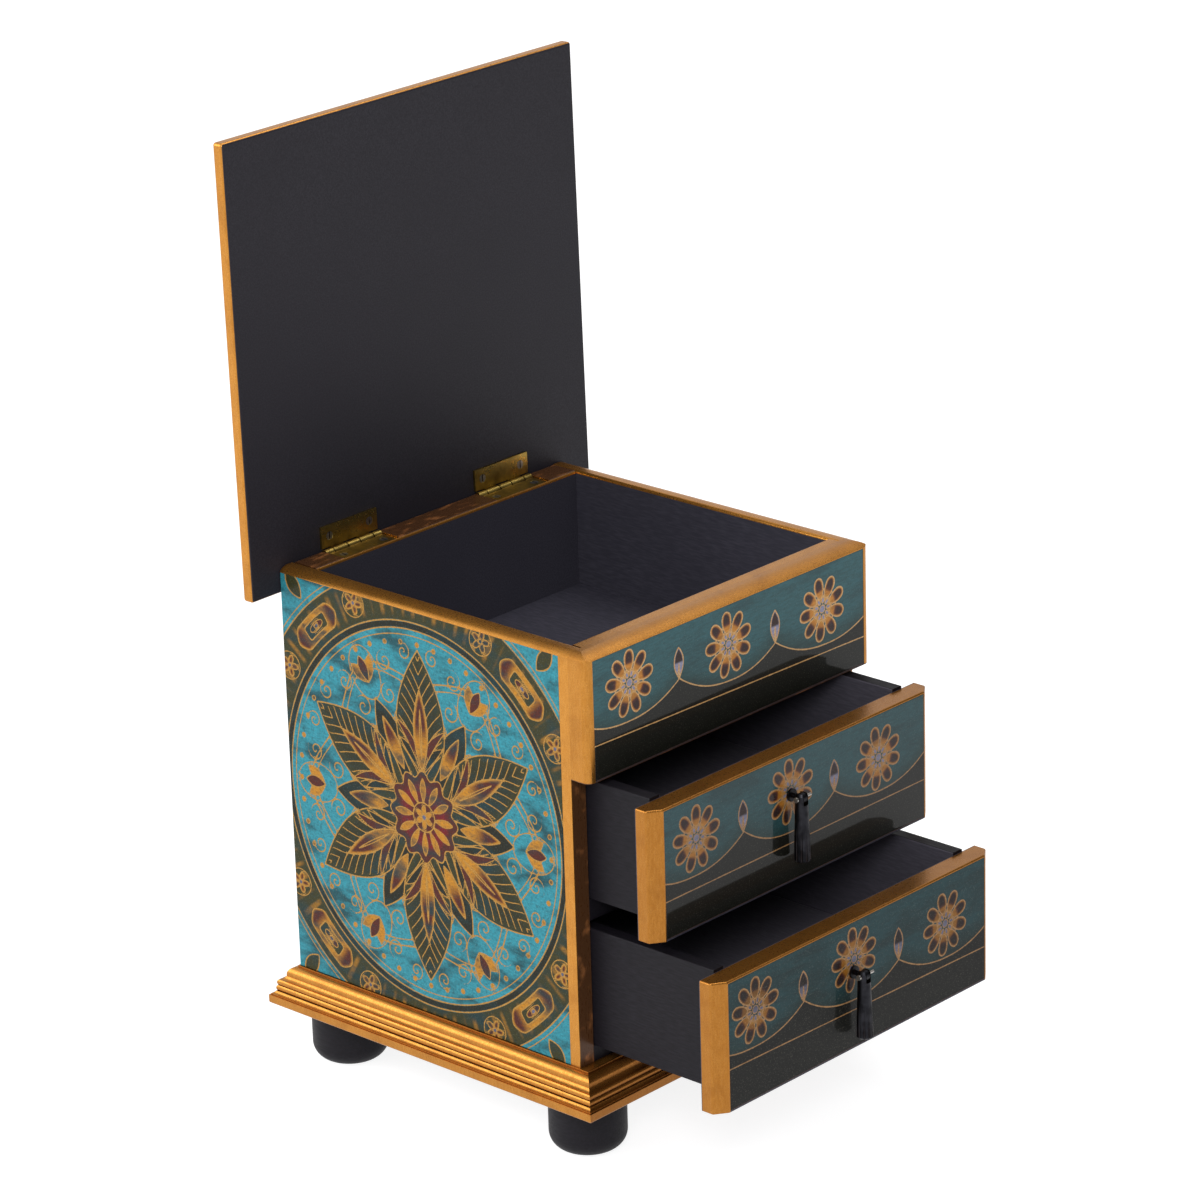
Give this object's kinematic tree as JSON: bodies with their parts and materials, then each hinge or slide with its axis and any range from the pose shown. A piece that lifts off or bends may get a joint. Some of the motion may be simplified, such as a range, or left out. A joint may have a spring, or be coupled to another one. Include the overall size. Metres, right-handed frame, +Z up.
{
  "type": "jewelry chest",
  "caption": "Small wooden jewelry chest with a hinged lid over a tray, two drawers with hanging drop pulls, painted glass panels, gilded edges, a moulded plinth and turned feet.",
  "frame": {"origin": "on the surface the chest stands on, under the middle of its bounding box as shown, lid open and drawers partly out", "axes": "+X to the right seen from the front, +Y from the drawers to the back, +Z up"},
  "size_m": [0.1894, 0.2352, 0.3724],
  "materials": {
    "gilded_wood": "gold paint on wood, satin, black inside",
    "black_wood": "matt black paint on wood",
    "painted_glass": "clear glass painted from behind with ornament",
    "brass": "aged brass",
    "steel": "plain steel",
    "black_iron": "blackened metal, satin"
  },
  "bodies": {
    "case": {"left_wall": "gilded_wood", "left_side_glass": "painted_glass", "right_wall": "gilded_wood", "right_side_glass": "painted_glass", "back_wall": "gilded_wood", "bottom_board": "black_wood", "drawer_divider": "black_wood", "tray_floor": "black_wood", "tray_front_wall": "gilded_wood", "front_band": "gilded_wood", "band_glass": "painted_glass", "plinth_board": "gilded_wood", "front_left_foot": "black_wood", "front_right_foot": "black_wood", "back_left_foot": "black_wood", "back_right_foot": "black_wood", "front_moulding": "gilded_wood", "right_moulding": "gilded_wood", "back_moulding": "gilded_wood", "left_moulding": "gilded_wood", "left_hinge_case_leaf": "brass", "left_hinge_pin": "brass", "left_case_screws": "steel", "right_hinge_case_leaf": "brass", "right_hinge_pin": "brass", "right_case_screws": "steel"},
    "lid": {"left_hinge_lid_leaf": "brass", "left_lid_screws": "steel", "right_hinge_lid_leaf": "brass", "right_lid_screws": "steel", "lid_board": "gilded_wood", "lid_glass": "painted_glass"},
    "upper_drawer": {"upper_drawer_front": "gilded_wood", "upper_drawer_glass": "painted_glass", "upper_drawer_left_side": "black_wood", "upper_drawer_right_side": "black_wood", "upper_drawer_back": "black_wood", "upper_drawer_bottom": "black_wood", "upper_pull_post": "black_iron", "upper_pull_pin": "steel"},
    "lower_drawer": {"lower_drawer_front": "gilded_wood", "lower_drawer_glass": "painted_glass", "lower_drawer_left_side": "black_wood", "lower_drawer_right_side": "black_wood", "lower_drawer_back": "black_wood", "lower_drawer_bottom": "black_wood", "lower_pull_post": "black_iron", "lower_pull_pin": "steel"},
    "upper_pull": {"upper_pull_drop": "black_iron"},
    "lower_pull": {"lower_pull_drop": "black_iron"}
  },
  "joints": [
    {"name": "lid_hinge", "type": "hinge", "parent": "case", "child": "lid", "pos_m": [0, 0.10704, 0.2031], "axis": [1, 0, 0], "range_deg": [0, 91.25]},
    {"name": "upper_drawer_slide", "type": "slide", "parent": "case", "child": "upper_drawer", "axis": [0, -1, 0], "range_m": [-0.0307, 0.076]},
    {"name": "lower_drawer_slide", "type": "slide", "parent": "case", "child": "lower_drawer", "axis": [0, -1, 0], "range_m": [-0.0599, 0.0468]},
    {"name": "upper_pull_swing", "type": "hinge", "parent": "upper_drawer", "child": "upper_pull", "pos_m": [-0.004, -0.08515, 0.1348], "axis": [-1, 0, 0], "range_deg": [-3.5, 95]},
    {"name": "lower_pull_swing", "type": "hinge", "parent": "lower_drawer", "child": "lower_pull", "pos_m": [-0.004, -0.11435, 0.0712], "axis": [-1, 0, 0], "range_deg": [-3.5, 95]}
  ]
}
